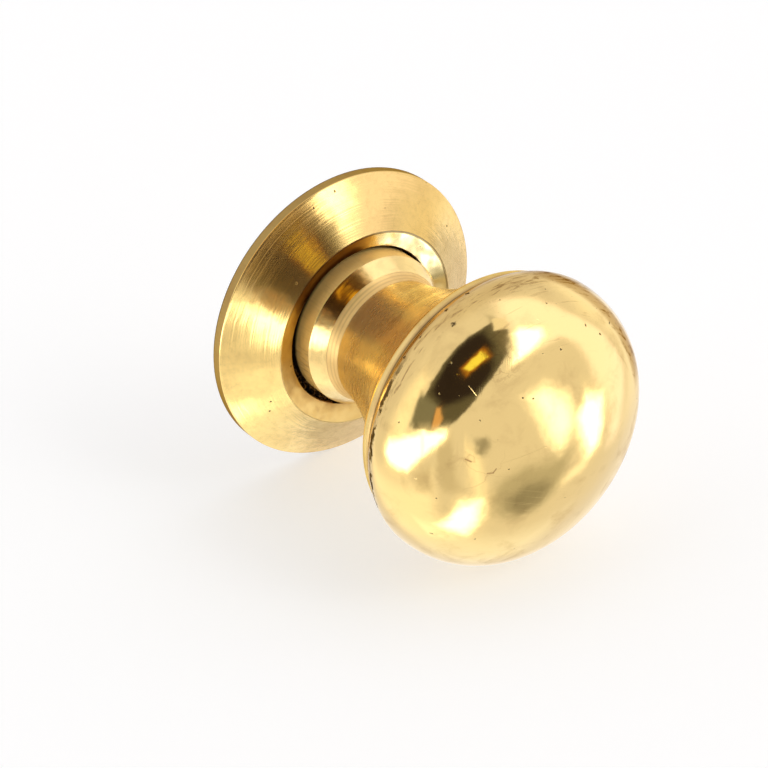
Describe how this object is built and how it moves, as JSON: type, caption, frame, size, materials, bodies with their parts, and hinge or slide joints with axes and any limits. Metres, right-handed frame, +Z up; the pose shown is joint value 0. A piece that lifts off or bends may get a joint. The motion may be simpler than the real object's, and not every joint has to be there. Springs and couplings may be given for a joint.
{
  "type": "cabinet knob",
  "caption": "Turned brass cabinet knob: bun-shaped head on a flared neck, its bevelled foot seated in a dished conical rose.",
  "frame": {"origin": "on the knob's axis in the plane of the door's face, which is the plane of the rose's back", "axes": "+Y into the door along the fixing screw, -Y out to the knob's face, +Z up as the knob hangs on an upright door, +X to the right seen from in front"},
  "size_m": [0.038, 0.043, 0.038],
  "materials": {
    "polished_brass": "polished, worn and lightly tarnished",
    "turned_brass": "lathe-turned, with fine rings and dull edges"
  },
  "bodies": {
    "root": {"knob": "polished_brass", "rose": "turned_brass"}
  },
  "joints": []
}
